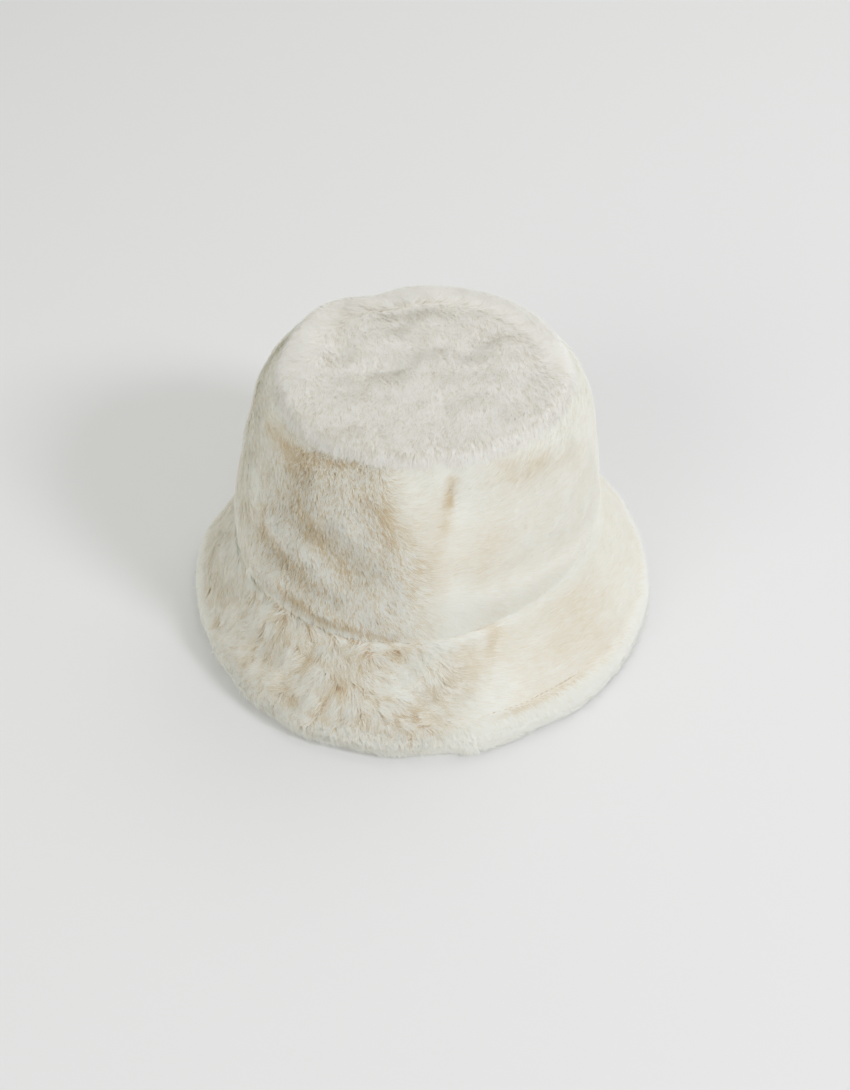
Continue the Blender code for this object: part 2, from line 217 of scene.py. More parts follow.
def bridged(node, points, normals, seamed):
    """The normals of a cloth that spans the seams between this solid and the others, and the nearest
    places on it, drawn together over the seam. Only the points marked as seamed are near one."""
    level, spanned = normals.copy(), points.copy()
    other_points, other_corners = [], []
    for name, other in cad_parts.items():
        if name != node:
            verts, _, corners = mesh_arrays(other)
            other_corners += (corners + len(other_points)).tolist()
            other_points += verts.tolist()
    others = BVHTree.FromPolygons(other_points, other_corners)
    for index in np.flatnonzero(seamed):
        found = outer_tree.find_range(points[index].tolist(), BRIDGE_REACH)
        if len(found) < 8:
            continue
        near = np.array([place for _, place, _ in found])
        weight = outer_area[near] * (1 - np.array([away for *_, away in found]) / BRIDGE_REACH)
        weight /= weight.sum()
        apart = outer_middles[near] - weight @ outer_middles[near]
        # The cloth over a seam lies along the plane that fits the faces round it best.
        flattest = np.linalg.eigh((apart * weight[:, None]).T @ apart)[1][:, 0]
        flattest *= np.sign(flattest @ (weight @ outer_facing[near]))
        heights = (outer_middles[near] - points[index]) @ flattest
        rise = weight @ heights
        rise += BRIDGE_RISE * np.sqrt(weight @ (heights - rise) ** 2)
        level[index] = flattest
        spanned[index] += flattest * np.clip(rise, 0, BRIDGE_LIMIT)
        beyond = others.find_nearest(points[index].tolist(), BRIDGE_REACH)[0]
        if beyond is not None:
            across = np.array(beyond) - points[index]
            across -= flattest * (across @ flattest)
            spanned[index] += across * 0.5 * np.clip(1.6 - np.linalg.norm(across) / JOIN_REACH, 0, 1)
    return level, spanned


def cut_fabric(name, node, bears_pile, depth_at, fuller_at, closed_at):
    """The fabric of one piece of the hat: a copy of its solid, finely divided, whose furry side is
    sunk to where the pile is rooted and raised over the seams as far as the pile closes them.
    Returns the piece with what its pile needs: the depth, cover, relief and bridged normals of its
    points, and its furry triangles."""
    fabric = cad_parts[node].copy()
    fabric.data = fabric.data.copy()
    for key in list(fabric.keys()):
        del fabric[key]
    fabric.parent = None
    fabric.name = name
    fabric.data.name = name
    bpy.context.scene.collection.objects.link(fabric)
    select_only(fabric)
    bpy.ops.object.mode_set(mode="EDIT")
    bpy.ops.mesh.select_all(action="SELECT")
    bpy.ops.mesh.remove_doubles(threshold=0.00002)
    bpy.ops.mesh.tris_convert_to_quads(face_threshold=radians(40), shape_threshold=radians(40))
    bpy.ops.object.mode_set(mode="OBJECT")
    if fabric.data.has_custom_normals:
        bpy.ops.mesh.customdata_custom_splitnormals_clear()
    finer = fabric.modifiers.new("finer", "SUBSURF")
    finer.levels = 1
    finer.render_levels = 1
    bpy.ops.object.modifier_apply(modifier="finer")
    bpy.ops.object.shade_smooth()

    points, normals, corners = mesh_arrays(fabric)
    middles, facing, _ = face_frames(points, corners)
    furry = bears_pile(middles, facing)
    edges = np.empty(len(fabric.data.edges) * 2, np.int32)
    fabric.data.edges.foreach_get("vertices", edges)
    edges = edges.reshape(-1, 2)
    bears = np.zeros(len(points), bool)
    bears[corners[furry].ravel()] = True
    # The cover falls from 1 in the open to 0 at the edge of the furry side, within a narrow strip,
    # and what lies beside a seam is a wider one. The relief is in millimetres.
    cover = np.ones(len(points))
    cover[corners[~furry].ravel()] = 0.0
    beside_seam = np.clip(2.5 - 2.5 * blurred(cover, edges, 8), 0, 1) * bears[:, None]
    cover = np.clip(blurred(cover, edges, 3)[:, 0] * 1.6 - 0.6, 0, 1)
    relief = np.sum((points - blurred(points, edges, 12)) * normals, axis=1) * 1000
    relief = blurred(relief, edges, 1)[:, 0]
    closed = closed_at(points)[:, None] * beside_seam
    depth = depth_at(points, normals)
    depth = (depth + (SEAM_DEPTH - depth) * (1 - cover) * (1 - closed[:, 0])) * bears
    level, spanned = bridged(node, points, normals, beside_seam[:, 0] > 0.01)
    level = unit(normals + (level - normals) * beside_seam)
    rooted = points + (spanned - points) * closed + normals * (fuller_at(points) * bears)[:, None]
    rooted = rooted - unit(normals + (level - normals) * closed) * depth[:, None]
    # The walls of the seams follow the edge of the furry side.
    followed = points + blurred(rooted - points, edges, 2)
    rooted = np.where(bears[:, None], rooted, followed)
    fabric.data.vertices.foreach_set("co", rooted.ravel())
    fabric.data.update()
    side = fabric.data.attributes.new("pile_side", "FLOAT", "POINT")
    side.data.foreach_set("value", cover.astype(np.float32))
    return fabric, depth, cover, relief, level, corners[furry]


def nearest(centres, spots):
    """Which centre is nearest to each spot."""
    tree = kdtree.KDTree(len(centres))
    for index, centre in enumerate(centres.tolist()):
        tree.insert(centre, index)
    tree.balance()
    return np.array([tree.find(spot)[1] for spot in spots.tolist()])


def lay_pile(name, fabric, depth, cover, relief, level, furry, comb, count, material, seed):
    """A pile of fur on a fabric. Its strands stand in wisps of a few, each combed from its place,
    and a strand is one long triangle from its root to its tip."""
    rng = np.random.default_rng(seed)

    # Each wisp has a random place on the furry side, and they are spread evenly over it.
    points, _, _ = mesh_arrays(fabric)
    _, _, area = face_frames(points, furry)
    wisps = count // WISP_STRANDS
    along = (np.arange(wisps) + rng.random(wisps)) / wisps
    chosen = np.minimum(np.searchsorted(np.cumsum(area) / area.sum(), along), len(furry) - 1)
    inward, aside = np.sqrt(rng.random(wisps)), rng.random(wisps)
    weights = np.stack([1 - inward, inward * (1 - aside), inward * aside], axis=1)
    corners = furry[chosen]
    spots = np.einsum("ij,ijk->ik", weights, points[corners])
    facing = unit(np.einsum("ij,ijk->ik", weights, level[corners]))
    sunk = np.einsum("ij,ij->i", weights, depth[corners])
    clear = np.einsum("ij,ij->i", weights, cover[corners])
    rise = np.einsum("ij,ij->i", weights, relief[corners])

    # Each wisp belongs to the nearest tuft and turns with it, and is higher along its middle.
    hair = comb(spots, facing, sunk, clear, rise)
    nap = unit(hair.nap - facing * np.sum(hair.nap * facing, axis=1, keepdims=True))
    tufts = rng.choice(wisps, int(area.sum() / TUFT_PITCH**2), replace=False)
    tuft = nearest(spots[tufts], spots)
    bunch = hair.bunch[:, None]
    nap = nap * (1 - bunch) + nap[tufts][tuft] * bunch
    nap = unit(nap - facing * np.sum(nap * facing, axis=1, keepdims=True))
    off_centre = spots - spots[tufts][tuft]
    beside = np.abs(np.sum(off_centre * np.cross(facing, nap), axis=1)) / (TUFT_PITCH / 2)
    dome = hair.bunch * (0.6 - np.minimum(beside, 1.2))
    turn = hair.bunch * 0.40 * rng.normal(0, 1, len(tufts))[tuft]
    turn += hair.wisp_turn * rng.normal(0, 1, wisps)
    heading = nap * np.cos(turn)[:, None] + np.cross(facing, nap) * np.sin(turn)[:, None]

    # Higher and paler wisps form lines along the nap, and each wisp differs a little besides.
    lines = nap[tufts][tuft]
    sideways = np.sum(off_centre * np.cross(facing, lines), axis=1) / STROKE_WIDTH
    lengthways = np.sum(off_centre * lines, axis=1) / STROKE_LENGTH
    stroke = drift(np.stack([sideways, lengthways, tuft * 7.7], axis=1), 1.0, 20)
    stature = rng.normal(1, 0.25 * hair.contrast + 0.04) + 0.45 * hair.contrast * stroke + 0.30 * dome
    tone = hair.tone + hair.contrast * (rng.normal(0, 0.5, wisps) + 2 * (stature - 1)) + 0.25 * dome

    # The ends draw in to the middle of their tuft, and follow the cloth where it bends ahead.
    drawn_in = off_centre * (0.30 * bunch)
    ahead = spots + nap * hair.length[:, None]
    borne = np.unique(furry)
    borne = borne[cover[borne] > 0.75]
    beneath = borne[nearest(points[borne], ahead)]
    fall = np.sum((ahead - points[beneath]) * level[beneath], axis=1)
    fall = np.clip(fall * 0.7, -0.0010, 0.0030) * (np.sum(level[beneath] * facing, axis=1) > 0.5)
    drawn_in += level[beneath] * fall[:, None]

    # The strands of a wisp start a little apart and end closer together.
    strands = wisps * WISP_STRANDS
    wisp = np.repeat(np.arange(wisps), WISP_STRANDS)
    facing, heading = facing[wisp], heading[wisp]
    across = np.cross(facing, heading)
    apart = rng.normal(0, WISP_SPREAD, (2, strands, 1))
    apart = across * apart[0] + heading * apart[1]
    turn = hair.strand_turn[wisp] * rng.normal(0, 1, strands)
    run = heading * np.cos(turn)[:, None] + across * np.sin(turn)[:, None]
    height = hair.height[wisp] * np.clip(stature[wisp] * rng.normal(1, 0.05, strands), 0.5, 1.35)
    length = hair.length[wisp] * rng.uniform(0.75, 1.1, strands)
    reach = np.sqrt(np.maximum(length**2 - height**2, (0.3 * length) ** 2))
    roots = spots[wisp] + apart
    tips = roots + run * reach[:, None] + facing * height[:, None]
    tips -= apart * hair.gather[wisp][:, None] + drawn_in[wisp]
    roots[:, 2] = np.maximum(roots[:, 2], FLOOR_GAP)
    tips[:, 2] = np.maximum(tips[:, 2], FLOOR_GAP + 0.0002)

    # A strand lies flat on the cloth, rolled a little to one side, and is shaded as the cloth is.
    # Where the pile hangs down steeply, it is shaded as if it faced up a little.
    run = unit(tips - roots)
    across = unit(np.cross(facing, run))
    blade = np.cross(run, across)
    roll = rng.normal(0, 0.25, strands)[:, None]
    across = across * np.cos(roll) + blade * np.sin(roll)
    half = across * (STRAND_WIDTH / 2 * rng.uniform(0.7, 1.3, strands))[:, None]
    hanging = step_up(-facing[:, 2:], -0.1, 0.4) * step_up(facing[:, 2:], -0.95, -0.6)
    shading = unit(facing * 0.85 + np.cross(run, across) * 0.15 + UP * 0.5 * hanging)
    tone = np.clip(tone[wisp] + hair.contrast[wisp] * rng.normal(0, 0.6, strands), 0.02, 0.98)

    # On the UV map, a strand runs up from its root, and its tone is how far to the right it is.
    mesh = bpy.data.meshes.new(name)
    mesh.vertices.add(3 * strands)
    mesh.vertices.foreach_set("co", np.stack([roots + half, roots - half, tips], axis=1).ravel())
    mesh.loops.add(3 * strands)
    mesh.loops.foreach_set("vertex_index", np.arange(3 * strands))
    mesh.polygons.add(strands)
    mesh.polygons.foreach_set("loop_start", 3 * np.arange(strands))
    mesh.polygons.foreach_set("use_smooth", np.ones(strands, bool))
    mesh.update(calc_edges=True)
    drawn = mesh.uv_layers.new(name="OFBake")
    sliver = 0.006  # half a strand's width there
    low, high = np.zeros(strands), np.ones(strands)
    places = np.stack([tone + sliver, low, tone - sliver, low, tone, high], axis=1)
    drawn.data.foreach_set("uv", places.astype(np.float32).ravel())
    mesh.normals_split_custom_set_from_vertices(np.repeat(shading, 3, axis=0).tolist())
    pile = bpy.data.objects.new(name, mesh)
    bpy.context.scene.collection.objects.link(pile)
    pile.data.materials.append(material)
    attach(pile, "root")
    return pile


# How the colour of a strand runs from its root to its tip, tan or white by its tone.
pile_colour = bpy.data.node_groups.new("pile_colour", "ShaderNodeTree")
for socket in ("Tan Root", "White Root", "Tan Tip", "White Tip"):
    pile_colour.interface.new_socket(socket, in_out="INPUT", socket_type="NodeSocketColor")
pile_colour.interface.new_socket("Color", in_out="OUTPUT", socket_type="NodeSocketColor")
given = pile_colour.nodes.new("NodeGroupInput")
result = pile_colour.nodes.new("NodeGroupOutput")
strand_map = pile_colour.nodes.new("ShaderNodeUVMap")
strand_map.uv_map = "OFBake"
parts = pile_colour.nodes.new("ShaderNodeSeparateXYZ")
pile_colour.links.new(strand_map.outputs["UV"], parts.inputs["Vector"])
along = pile_colour.nodes.new("ShaderNodeMapRange")
along.interpolation_type = "SMOOTHSTEP"
along.inputs["From Min"].default_value = 0.05
along.inputs["From Max"].default_value = 0.60
pile_colour.links.new(parts.outputs["Y"], along.inputs["Value"])


def mixed(tree, share, first, second):
    """The mix of two colours by a share. Each is the output of a node, or a plain colour."""
    mix = tree.nodes.new("ShaderNodeMix")
    mix.data_type = "RGBA"
    tree.links.new(share, mix.inputs["Factor"])
    for socket, colour in (("A", first), ("B", second)):
        if isinstance(colour, bpy.types.NodeSocket):
            tree.links.new(colour, mix.inputs[socket])
        else:
            mix.inputs[socket].default_value = (*colour, 1)
    return mix.outputs["Result"]


root = mixed(pile_colour, parts.outputs["X"], given.outputs["Tan Root"], given.outputs["White Root"])
tip = mixed(pile_colour, parts.outputs["X"], given.outputs["Tan Tip"], given.outputs["White Tip"])
whole = mixed(pile_colour, along.outputs["Result"], root, tip)
pile_colour.links.new(whole, result.inputs["Color"])


def make_pile(name, **colours):
    """A finish for the pile, from the colours of its roots and tips where it is tan and white. Light
    comes through the strands, and most of it through those that are seen from their back."""
    material = bpy.data.materials.new(name)
    material.use_nodes = True
    nodes, links = material.node_tree.nodes, material.node_tree.links
    strand = nodes.new("ShaderNodeGroup")
    strand.node_tree = pile_colour
    for socket, colour in colours.items():
        strand.inputs[socket.replace("_", " ").title()].default_value = (*colour, 1)
    shader = nodes["Principled BSDF"]
    links.new(strand.outputs["Color"], shader.inputs["Base Color"])
    shader.inputs["Roughness"].default_value = 0.85
    shader.inputs["Specular IOR Level"].default_value = 0.25
    shader.inputs["Sheen Weight"].default_value = 0.12
    shader.inputs["Sheen Roughness"].default_value = 0.5
    through = nodes.new("ShaderNodeBsdfTranslucent")
    links.new(strand.outputs["Color"], through.inputs["Color"])
    sides = nodes.new("ShaderNodeNewGeometry")
    share = nodes.new("ShaderNodeMapRange")
    share.inputs["To Min"].default_value = 0.12
    share.inputs["To Max"].default_value = 0.80
    links.new(sides.outputs["Backfacing"], share.inputs["Value"])
    both = nodes.new("ShaderNodeMixShader")
    links.new(share.outputs["Result"], both.inputs["Fac"])
    links.new(shader.outputs["BSDF"], both.inputs[1])
    links.new(through.outputs["BSDF"], both.inputs[2])
    links.new(both.outputs["Shader"], nodes["Material Output"].inputs["Surface"])
    return material


def make_backing(name, root_colour, knit_colour):
    """A finish for the fabric: the roots of the pile on one side and a fine knit on the other."""
    material = bpy.data.materials.new(name)
    material.use_nodes = True
    tree = material.node_tree
    nodes, links = tree.nodes, tree.links
    shader = nodes["Principled BSDF"]
    shader.inputs["Roughness"].default_value = 0.95
    shader.inputs["Specular IOR Level"].default_value = 0.1
    place = nodes.new("ShaderNodeTexCoord")
    speck = nodes.new("ShaderNodeTexNoise")
    speck.inputs["Scale"].default_value = 900.0
    speck.inputs["Detail"].default_value = 3.0
    links.new(place.outputs["Object"], speck.inputs["Vector"])
    darker = [value * 0.9 for value in root_colour]
    specked = mixed(tree, speck.outputs["Fac"], darker, root_colour)
    knit = nodes.new("ShaderNodeTexWave")
    knit.wave_type = "BANDS"
    knit.bands_direction = "Z"
    knit.inputs["Scale"].default_value = 130.0
    knit.inputs["Distortion"].default_value = 1.2
    knit.inputs["Detail Scale"].default_value = 6.0
    links.new(place.outputs["Object"], knit.inputs["Vector"])
    darker = [value * 0.82 for value in knit_colour]
    looped = mixed(tree, knit.outputs["Color"], darker, knit_colour)
    side = nodes.new("ShaderNodeAttribute")
    side.attribute_name = "pile_side"
    sides = nodes.new("ShaderNodeMapRange")
    sides.inputs["From Min"].default_value = 0.02
    sides.inputs["From Max"].default_value = 0.15
    links.new(side.outputs["Fac"], sides.inputs["Value"])
    links.new(mixed(tree, sides.outputs["Result"], looped, specked), shader.inputs["Base Color"])
    bump = nodes.new("ShaderNodeBump")
    bump.inputs["Strength"].default_value = 0.5
    bump.inputs["Distance"].default_value = 0.0006
    links.new(knit.outputs["Fac"], bump.inputs["Height"])
    links.new(bump.outputs["Normal"], shader.inputs["Normal"])
    return material


backing = make_backing("fur_backing", (0.80, 0.73, 0.60), (0.80, 0.77, 0.70))
fur_pile = make_pile(
    "fur_pile",
    tan_root=(0.59, 0.43, 0.25),
    white_root=(0.87, 0.865, 0.80),
    tan_tip=(0.735, 0.635, 0.455),
    white_tip=(0.895, 0.90, 0.86),
)
pale_pile = make_pile(
    "pale_pile",
    tan_root=(0.61, 0.54, 0.43),
    white_root=(0.87, 0.855, 0.80),
    tan_tip=(0.765, 0.725, 0.64),
    white_tip=(0.905, 0.90, 0.87),
)


def dress(node, finish, bears_pile, depth_at, fuller_at, closed_at, comb, count, seed):
    """Makes the fabric and the pile that together stand for one solid of the hat."""
    fabric, *grown = cut_fabric(node + "_fabric", node, bears_pile, depth_at, fuller_at, closed_at)
    fabric.data.materials.clear()
    fabric.data.materials.append(backing)
    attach(fabric, "root")
    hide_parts(node)
    pile = lay_pile(node + "_pile", fabric, *grown, comb, count, finish, seed)
    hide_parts(node)


# Places where the pile parts and its tan roots show, or where it bunches up white, with painted shade
# in its folds, hollows and creases and painted highlights on some ridges: each is a line in
# millimetres in the frame, with its width and how much it changes the tone.
Patch = namedtuple("Patch", "x_1 y_1 z_1 x_2 y_2 z_2 width tone")


def patched(spots, patches):
    """How much paler than its surroundings the pile is at each spot, from the patches near it. The
    edges of the patches wander by a few millimetres."""
    wander = np.stack([drift(spots, 0.009, layer) for layer in (31, 32, 33)], axis=1)
    spots = spots * 1000 + wander * 2.0
    total = np.zeros(len(spots))
    for patch in patches:
        start = np.array(patch[0:3])
        run = np.array(patch[3:6]) - start
        share = np.clip((spots - start) @ run / (run @ run), 0, 1)
        away = np.linalg.norm(spots - start - share[:, None] * run, axis=1)
        total += patch.tone * np.exp(-((away / patch.width) ** 2))
    return total


# Tan partings and creases of the tip, and painted shade in its folds and hollows.
TIP_TONE_AND_PAINTED_LIGHT = (
    Patch(-62, -37, 131, -46, -46, 133, 1.3, -0.90),
    Patch(-46, -46, 133, -26, -56, 135, 1.2, -0.70),
    Patch(-51, 21, 145, -51, 25, 145, 2.5, -0.90),
    Patch(-46, 78, 148, -48, 53, 148, 2, -0.30),
    Patch(-48, 53, 148, -50, 32, 144, 2, -0.40),
    Patch(31, 51, 146, 31, 36, 145, 2, -0.45),
    Patch(31, 51, 146, 46, 50, 147, 4, -0.20),
    Patch(84, 45, 138, 79, 17, 145, 2.5, -0.35),
    Patch(-35, 15, 145, -12, 0, 149, 7, -0.12),
)


def tip_bears_pile(middles, facing):
    return facing[:, 2] > -0.25


def tip_depth(points, normals):
    return np.full(len(points), PILE_DEPTH)


def rim_finder(*names):
    """A function that tells how far in from the outline of these solids a spot is, on the level."""
    rim = np.concatenate([mesh_arrays(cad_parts[name])[0] for name in names])
    turns = azimuth(rim)
    reach = np.linalg.norm((rim - HAT_CENTRE)[:, :2], axis=1)
    bins = np.arange(-180, 181, 6)
    edge = [reach[np.abs((turns - turn + 180) % 360 - 180) < 5].max() for turn in bins]

    def from_rim(spots):
        reach = np.linalg.norm((spots - HAT_CENTRE)[:, :2], axis=1)
        return np.interp(azimuth(spots), bins, edge) - reach

    return from_rim


from_tip_rim = rim_finder("crown_tip")


def crown_fuller(points):
    """How much fuller the fur is than the solid: a little round the top, but not in front."""
    high = step_up(points[:, 2], 0.105, 0.138)
    outer = 1 - step_up(from_tip_rim(points), 0.004, 0.030)
    return FULLER_TOP * high * outer * step_up(outward(points)[:, 1], -0.6, 0.1)


def tip_closed(points):
    """How far the pile closes the seam round the tip: all the way but on the left of the front."""
    turn = azimuth(points)
    return 1 - 0.5 * step_up(-turn, 12, 22) * (1 - step_up(-turn, 55, 72))


def carried(direction, facing):
    """A direction on level cloth, carried round with the cloth where it bends to face elsewhere."""
    against = np.sum(direction * facing, axis=1, keepdims=True)
    return direction - against / (1.001 + facing[:, 2:]) * (UP + facing)


def comb_tip(spots, facing, sunk, clear, rise):
    """The pile of the tip sways as it runs forwards. Along the back edge it turns outwards and then
    round the hat, and on the left of the front it is longer and hangs as a fringe."""
    count = len(spots)
    inset = from_tip_rim(spots)
    away = outward(spots)
    edge = 1 - step_up(inset, 0.001, 0.028)
    sway = 0.40 * drift(spots, 0.040, 1) + 0.30 * drift(spots, 0.014, 2)
    sway = sway + 0.75 * step_up(-spots[:, 0], 0.025, 0.075) * (1 - edge)
    sway = sway + 0.6 * np.maximum(away[:, 0], 0) * edge
    level = unit(np.stack([sway, -np.ones(count), np.zeros(count)], axis=1))
    behind = (edge * step_up(away[:, 1], 0.0, 0.5))[:, None]
    around = np.cross(UP, away)
    level = level * (1 - behind) ** 2 + away * 2.4 * behind * (1 - behind) + around * behind**2
    nap = carried(unit(level), facing)
    turned = 4 * behind[:, 0] * (1 - behind[:, 0])
    turn = azimuth(spots)
    fringe = step_up(-turn, -40, 10) * (1 - step_up(-turn, 60, 75))
    fringe = fringe * (0.6 + 0.9 * drift(spots, 0.007, 16))
    fringe = fringe * (1 - step_up(inset, 0.003, 0.012))
    length = TIP_LENGTH + 0.0012 * drift(spots, 0.02, 4) + 0.0030 * fringe + 0.0005 * turned
    seen = spots + unit(nap) * (length * 0.8)[:, None]
    tone = 0.84 + 0.10 * drift(spots, 0.025, 5) + 0.14 * drift(spots, 0.006, 6)
    tone = tone - 0.15 * fringe + patched(seen, TIP_TONE_AND_PAINTED_LIGHT)
    tuft = 0.0004 * drift(spots, 0.006, 3)
    return Combing(
        nap=nap,
        bunch=0.12 - 0.08 * turned,
        length=length,
        height=sunk + 0.0006 + tuft + 0.0008 * (1 - clear) + 0.0008 * fringe,
        wisp_turn=radians(9) + radians(9) * fringe + radians(12) * turned,
        strand_turn=np.full(count, radians(8)),
        gather=np.full(count, 0.5),
        # Paler on the ridges of the cloth and darker in its hollows: painted highlight and painted
        # shade.
        tone=tone + 0.10 * np.clip(rise, -1.5, 1.5),
        contrast=0.85 - 0.55 * turned,
    )


dress(
    "crown_tip", pale_pile, tip_bears_pile, tip_depth, crown_fuller, tip_closed, comb_tip,
    count=TIP_STRANDS, seed=11,
)

# The crown sides are two panels of the same fur, sewn together in front and behind. The pile of
# the right one is combed smoothly round the hat. On the left of the front it stands up, so that its
# tan roots show, and folds run down through it.
SIDE_STRANDS = 188000
SIDE_LENGTH = 0.0115  # of the pile, from root to end
UPRIGHT_SHORTER = 0.0068  # by which it is shorter where it stands up
SIDE_FOOT = 0.0455  # the height of the seam with the brim
SIDE_TONE_AND_PAINTED_LIGHT = (
    # Tan roots and white streaks of the sides, with painted shade in their folds and in the crease
    # under the tip, and painted highlights on the fold ridges.
    Patch(-84, -9, 128, -76, -27, 128, 4, -0.50),
    Patch(-76, -30, 127, -65, -39, 128, 3.5, -0.45),
    Patch(-65, -39, 128, -42, -51, 132, 1.9, -1.30),
    Patch(-42, -51, 132, -24, -58, 134, 1.7, -1.00),
    Patch(-72, -34, 124, -62, -48, 122, 6, -0.65),
    Patch(-67, -51, 109, -56, -66, 93, 6, -0.50),
    Patch(-56, -66, 93, -42, -83, 79, 5, -0.50),
    Patch(-30, -64, 124, -18, -74, 116, 6, -0.50),
    Patch(-18, -74, 116, -14, -79, 106, 5, -0.50),
    Patch(-52, -55, 124, -41, -73, 108, 5, 0.15),
    Patch(-41, -73, 108, -20, -92, 76, 6, 0.12),
    Patch(-42, -56, 129, -27, -63, 127, 4, 0.25),
    Patch(-90, -42, 90, -88, -46, 76, 4, -0.70),
    Patch(-83, -56, 71, -68, -69, 71, 5, -0.50),
    Patch(-68, -69, 71, -58, -79, 67, 5, -0.40),
    Patch(-97, -20, 104, -90, -37, 96, 4, 0.35),
    Patch(-83, -51, 88, -66, -70, 87, 4, 0.40),
    Patch(-66, -70, 87, -49, -83, 78, 4, 0.40),
    Patch(-12, -80, 100, 30, -84, 85, 14, -0.25),
    Patch(-14, -92, 68, -8, -95, 62, 9, 0.25),
    Patch(16, -74, 112, 34, -74, 101, 12, -0.20),
    Patch(42, -55, 131, 64, -43, 130, 8, -0.20),
    Patch(64, -43, 130, 89, -21, 119, 8, -0.18),
    Patch(17, -61, 134, 16, -68, 124, 2.6, -1.00),
    Patch(16, -68, 124, 12, -75, 111, 3, -0.40),
    Patch(-80, -70, 56, -57, -88, 51, 3, -1.20),
    Patch(-57, -88, 51, -15, -98, 46, 2.2, -1.20),
)
NICK = (Patch(14, -62, 134, 12, -70, 121, 4, 1.0),)  # the dimple where the seams meet in front


def turned_out(middles, facing):
    """How far each face looks away from the middle of the hat, and how far round it."""
    away = outward(middles)
    around = np.cross(UP, away)
    return np.sum(facing * away, axis=1), np.abs(np.sum(facing * around, axis=1))


def side_bears_pile(middles, facing):
    out, along = turned_out(middles, facing)
    return (out > -0.35) & (along < 0.8) & (middles[:, 2] > SIDE_FOOT)


def uprightness(spots):
    """How far the pile of the crown sides stands up: 1 on the left of the front, 0 elsewhere."""
    turn = azimuth(spots)
    front = 13 * step_up(spots[:, 2], 0.085, 0.130) - 4
    return step_up(-turn - front, 0, 13) * (1 - 0.75 * step_up(-turn, 52, 85))


def side_depth(points, normals):
    return PILE_DEPTH + 0.0003 * uprightness(points)


def side_fuller(points):
    """The same as round the top, and a dimple where the seams meet in front."""
    return crown_fuller(points) - 0.0007 * np.clip(patched(points, NICK), 0, 1)


def side_closed(points):
    """How far the pile closes the seams of the sides: all the way but on the left of the front."""
    low = step_up(-points[:, 2], -0.075, -0.060)
    return tip_closed(points) * (1 - low) + (0.70 - 0.25 * uprightness(points)) * low


def comb_sides(spots, facing, sunk, clear, rise):
    """The pile of the sides runs round the hat and a little up, and down to the seam at its foot.
    Where it stands up, it leans down and round in tufts."""
    around = np.cross(UP, outward(spots))
    down = downhill(facing)
    upright = uprightness(spots)
    climb = 0.10 + 0.18 * drift(spots, 0.04, 7) + 0.7 * step_up(spots[:, 2], 0.110, 0.138)
    climb = climb + 0.3 * drift(spots, 0.012, 15) * step_up(spots[:, 2], 0.100, 0.130)
    lean = 0.75 + 0.6 * drift(spots, 0.018, 8)
    low = step_up(-spots[:, 2], -0.080, -0.052)
    climb = climb * (1 - low) - 0.9 * low
    smooth_nap = around - down * climb[:, None]
    upright_nap = around * lean[:, None] + down * 0.85
    nap = smooth_nap * (1 - upright)[:, None] + upright_nap * upright[:, None]
    tone = 0.785 - 0.13 * upright + (0.05 + 0.05 * upright) * drift(spots, 0.02, 9)
    # Paler on the ridges of the cloth and darker in its hollows: painted highlight and painted shade.
    tone = tone + 0.12 * upright * drift(spots, 0.006, 10) + 0.14 * np.clip(rise, -1.5, 1.5)
    tuft = 0.0004 * drift(spots, 0.006, 10)
    length = SIDE_LENGTH - UPRIGHT_SHORTER * upright
    length = length * (1 - 0.5 * np.clip(patched(spots, NICK), 0, 1))
    seen = spots + unit(nap) * (length * 0.8)[:, None]
    return Combing(
        nap=nap,
        bunch=0.12 * upright,
        length=length,
        height=sunk + 0.0003 + (0.0004 + tuft) * upright + 0.0004 * (1 - clear) * (1 - upright),
        wisp_turn=radians(3.5) + radians(7) * upright,
        strand_turn=radians(4) + radians(7) * upright,
        gather=0.2 + 0.25 * upright,
        tone=tone + patched(seen, SIDE_TONE_AND_PAINTED_LIGHT),
        contrast=0.17 + 0.58 * upright + 0.10 * step_up(spots[:, 2], 0.115, 0.135) * (1 - upright),
    )


for side, seed in (("crown_side_left", 12), ("crown_side_right", 13)):
    dress(
        side, fur_pile, side_bears_pile, side_depth, side_fuller, side_closed, comb_sides,
        count=SIDE_STRANDS, seed=seed,
    )

# The brim is two panels of a padded ring, furry above and below and turned over at the rim, sewn
# to the foot of the crown. On the left of the front its pile is tousled into locks, and the rest is
# combed smoothly round.
BRIM_STRANDS = 186000
BRIM_LENGTH = 0.0110  # of the pile, from root to end
UNDER_DEPTH = 0.0011  # how far the backing lies under the fur's surface beneath the brim
TOUSLED_DEPTH = 0.0010  # how much deeper it lies where the pile is tousled
THINNER_RIM = 0.0016  # by which the fur is thinner than the solid at the rim
THINNER_RIGHT = 0.0012  # and on the far right
BRIM_TONE_AND_PAINTED_LIGHT = (
    # Tan partings and pale locks of the brim, with painted shade in the crease at the foot of the
    # crown.
    Patch(-80, -70, 56, -57, -88, 51, 2.5, -0.80),
    Patch(-57, -88, 51, -15, -98, 46, 2, -0.60),
    Patch(-63, -95, 41, -77, -118, 21, 5, -0.35),
    Patch(-37, -103, 42, -40, -120, 31, 5, -0.35),
    Patch(-17, -109, 41, 3, -99, 45, 4, -0.35),
    Patch(-13, -123, 31, 16, -98, 44, 5, 0.40),
    Patch(-12, -137, 21, 19, -113, 36, 5, -0.40),
    Patch(43, -90, 43, 42, -100, 38, 5.5, -0.55),
    Patch(25, -104, 41, 35, -108, 35, 9, -0.25),
    Patch(80, -70, 40, 98, -59, 37, 14, -0.15),
    Patch(67, -95, 34, 103, -79, 24, 12, -0.15),
)
REST_HEIGHT = 0.0009  # below which the brim rests on the floor and bears no pile
